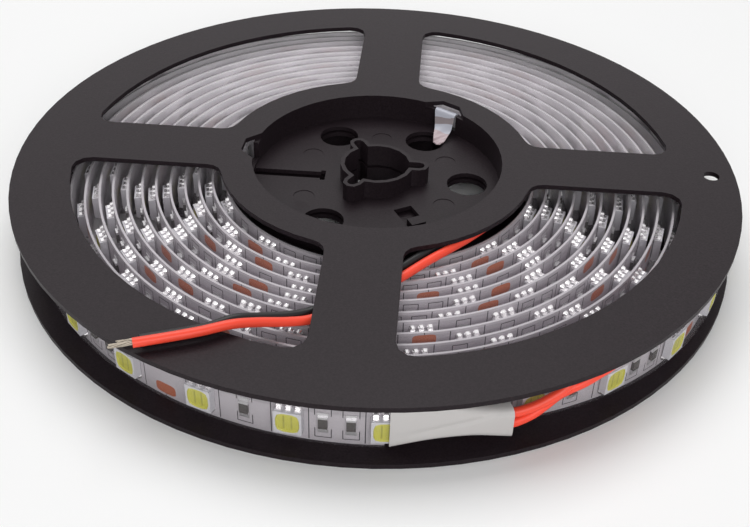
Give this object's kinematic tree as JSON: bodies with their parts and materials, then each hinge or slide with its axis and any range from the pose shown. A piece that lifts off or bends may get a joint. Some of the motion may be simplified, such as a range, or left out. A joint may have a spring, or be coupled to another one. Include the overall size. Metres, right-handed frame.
{
  "type": "led strip light reel",
  "caption": "Flat two-part plastic reel with four windows, holding a coiled coated light strip with leads at both of its ends.",
  "frame": {"origin": "on the reel axis, in the plane of the lower half's underside", "axes": "+Z along the reel axis, away from the surface it rests on; the outer end's sleeve faces -Y; one spoke of the reel lies along each of +X, -X, +Y and -Y"},
  "size_m": [0.156, 0.156, 0.0173],
  "materials": {
    "black_plastic": "moulded, fine grain",
    "clear_coat": "clear soft coat over a white circuit strip",
    "led_package": "white housing with a yellow lens",
    "white_sleeve": "shrunk sleeve",
    "red_insulation": "smooth",
    "black_insulation": "smooth",
    "tinned_copper": "tinned strands",
    "milky_tape": "milky film"
  },
  "bodies": {
    "root": {"upper_flange": "black_plastic", "upper_hub": "black_plastic", "lower_flange": "black_plastic", "lower_hub": "black_plastic", "strip_roll": "clear_coat", "outer_sleeve": "white_sleeve", "inner_sleeve": "white_sleeve", "inner_lead_red": "red_insulation", "inner_lead_black": "black_insulation", "inner_tip_red": "tinned_copper", "inner_tip_black": "tinned_copper", "outer_lead_upper": "red_insulation", "outer_lead_lower": "red_insulation", "outer_tip_upper": "tinned_copper", "outer_tip_lower": "tinned_copper", "tape_end": "milky_tape", "led_01": "led_package", "led_02": "led_package", "led_03": "led_package", "led_04": "led_package", "led_05": "led_package", "led_06": "led_package", "led_07": "led_package", "led_08": "led_package", "led_09": "led_package", "led_10": "led_package", "led_11": "led_package", "led_12": "led_package", "led_13": "led_package", "led_14": "led_package", "led_15": "led_package", "led_16": "led_package", "led_17": "led_package", "led_18": "led_package", "led_19": "led_package", "led_20": "led_package", "led_21": "led_package", "led_22": "led_package", "led_23": "led_package", "led_24": "led_package", "led_25": "led_package", "led_26": "led_package", "led_27": "led_package"}
  },
  "joints": []
}
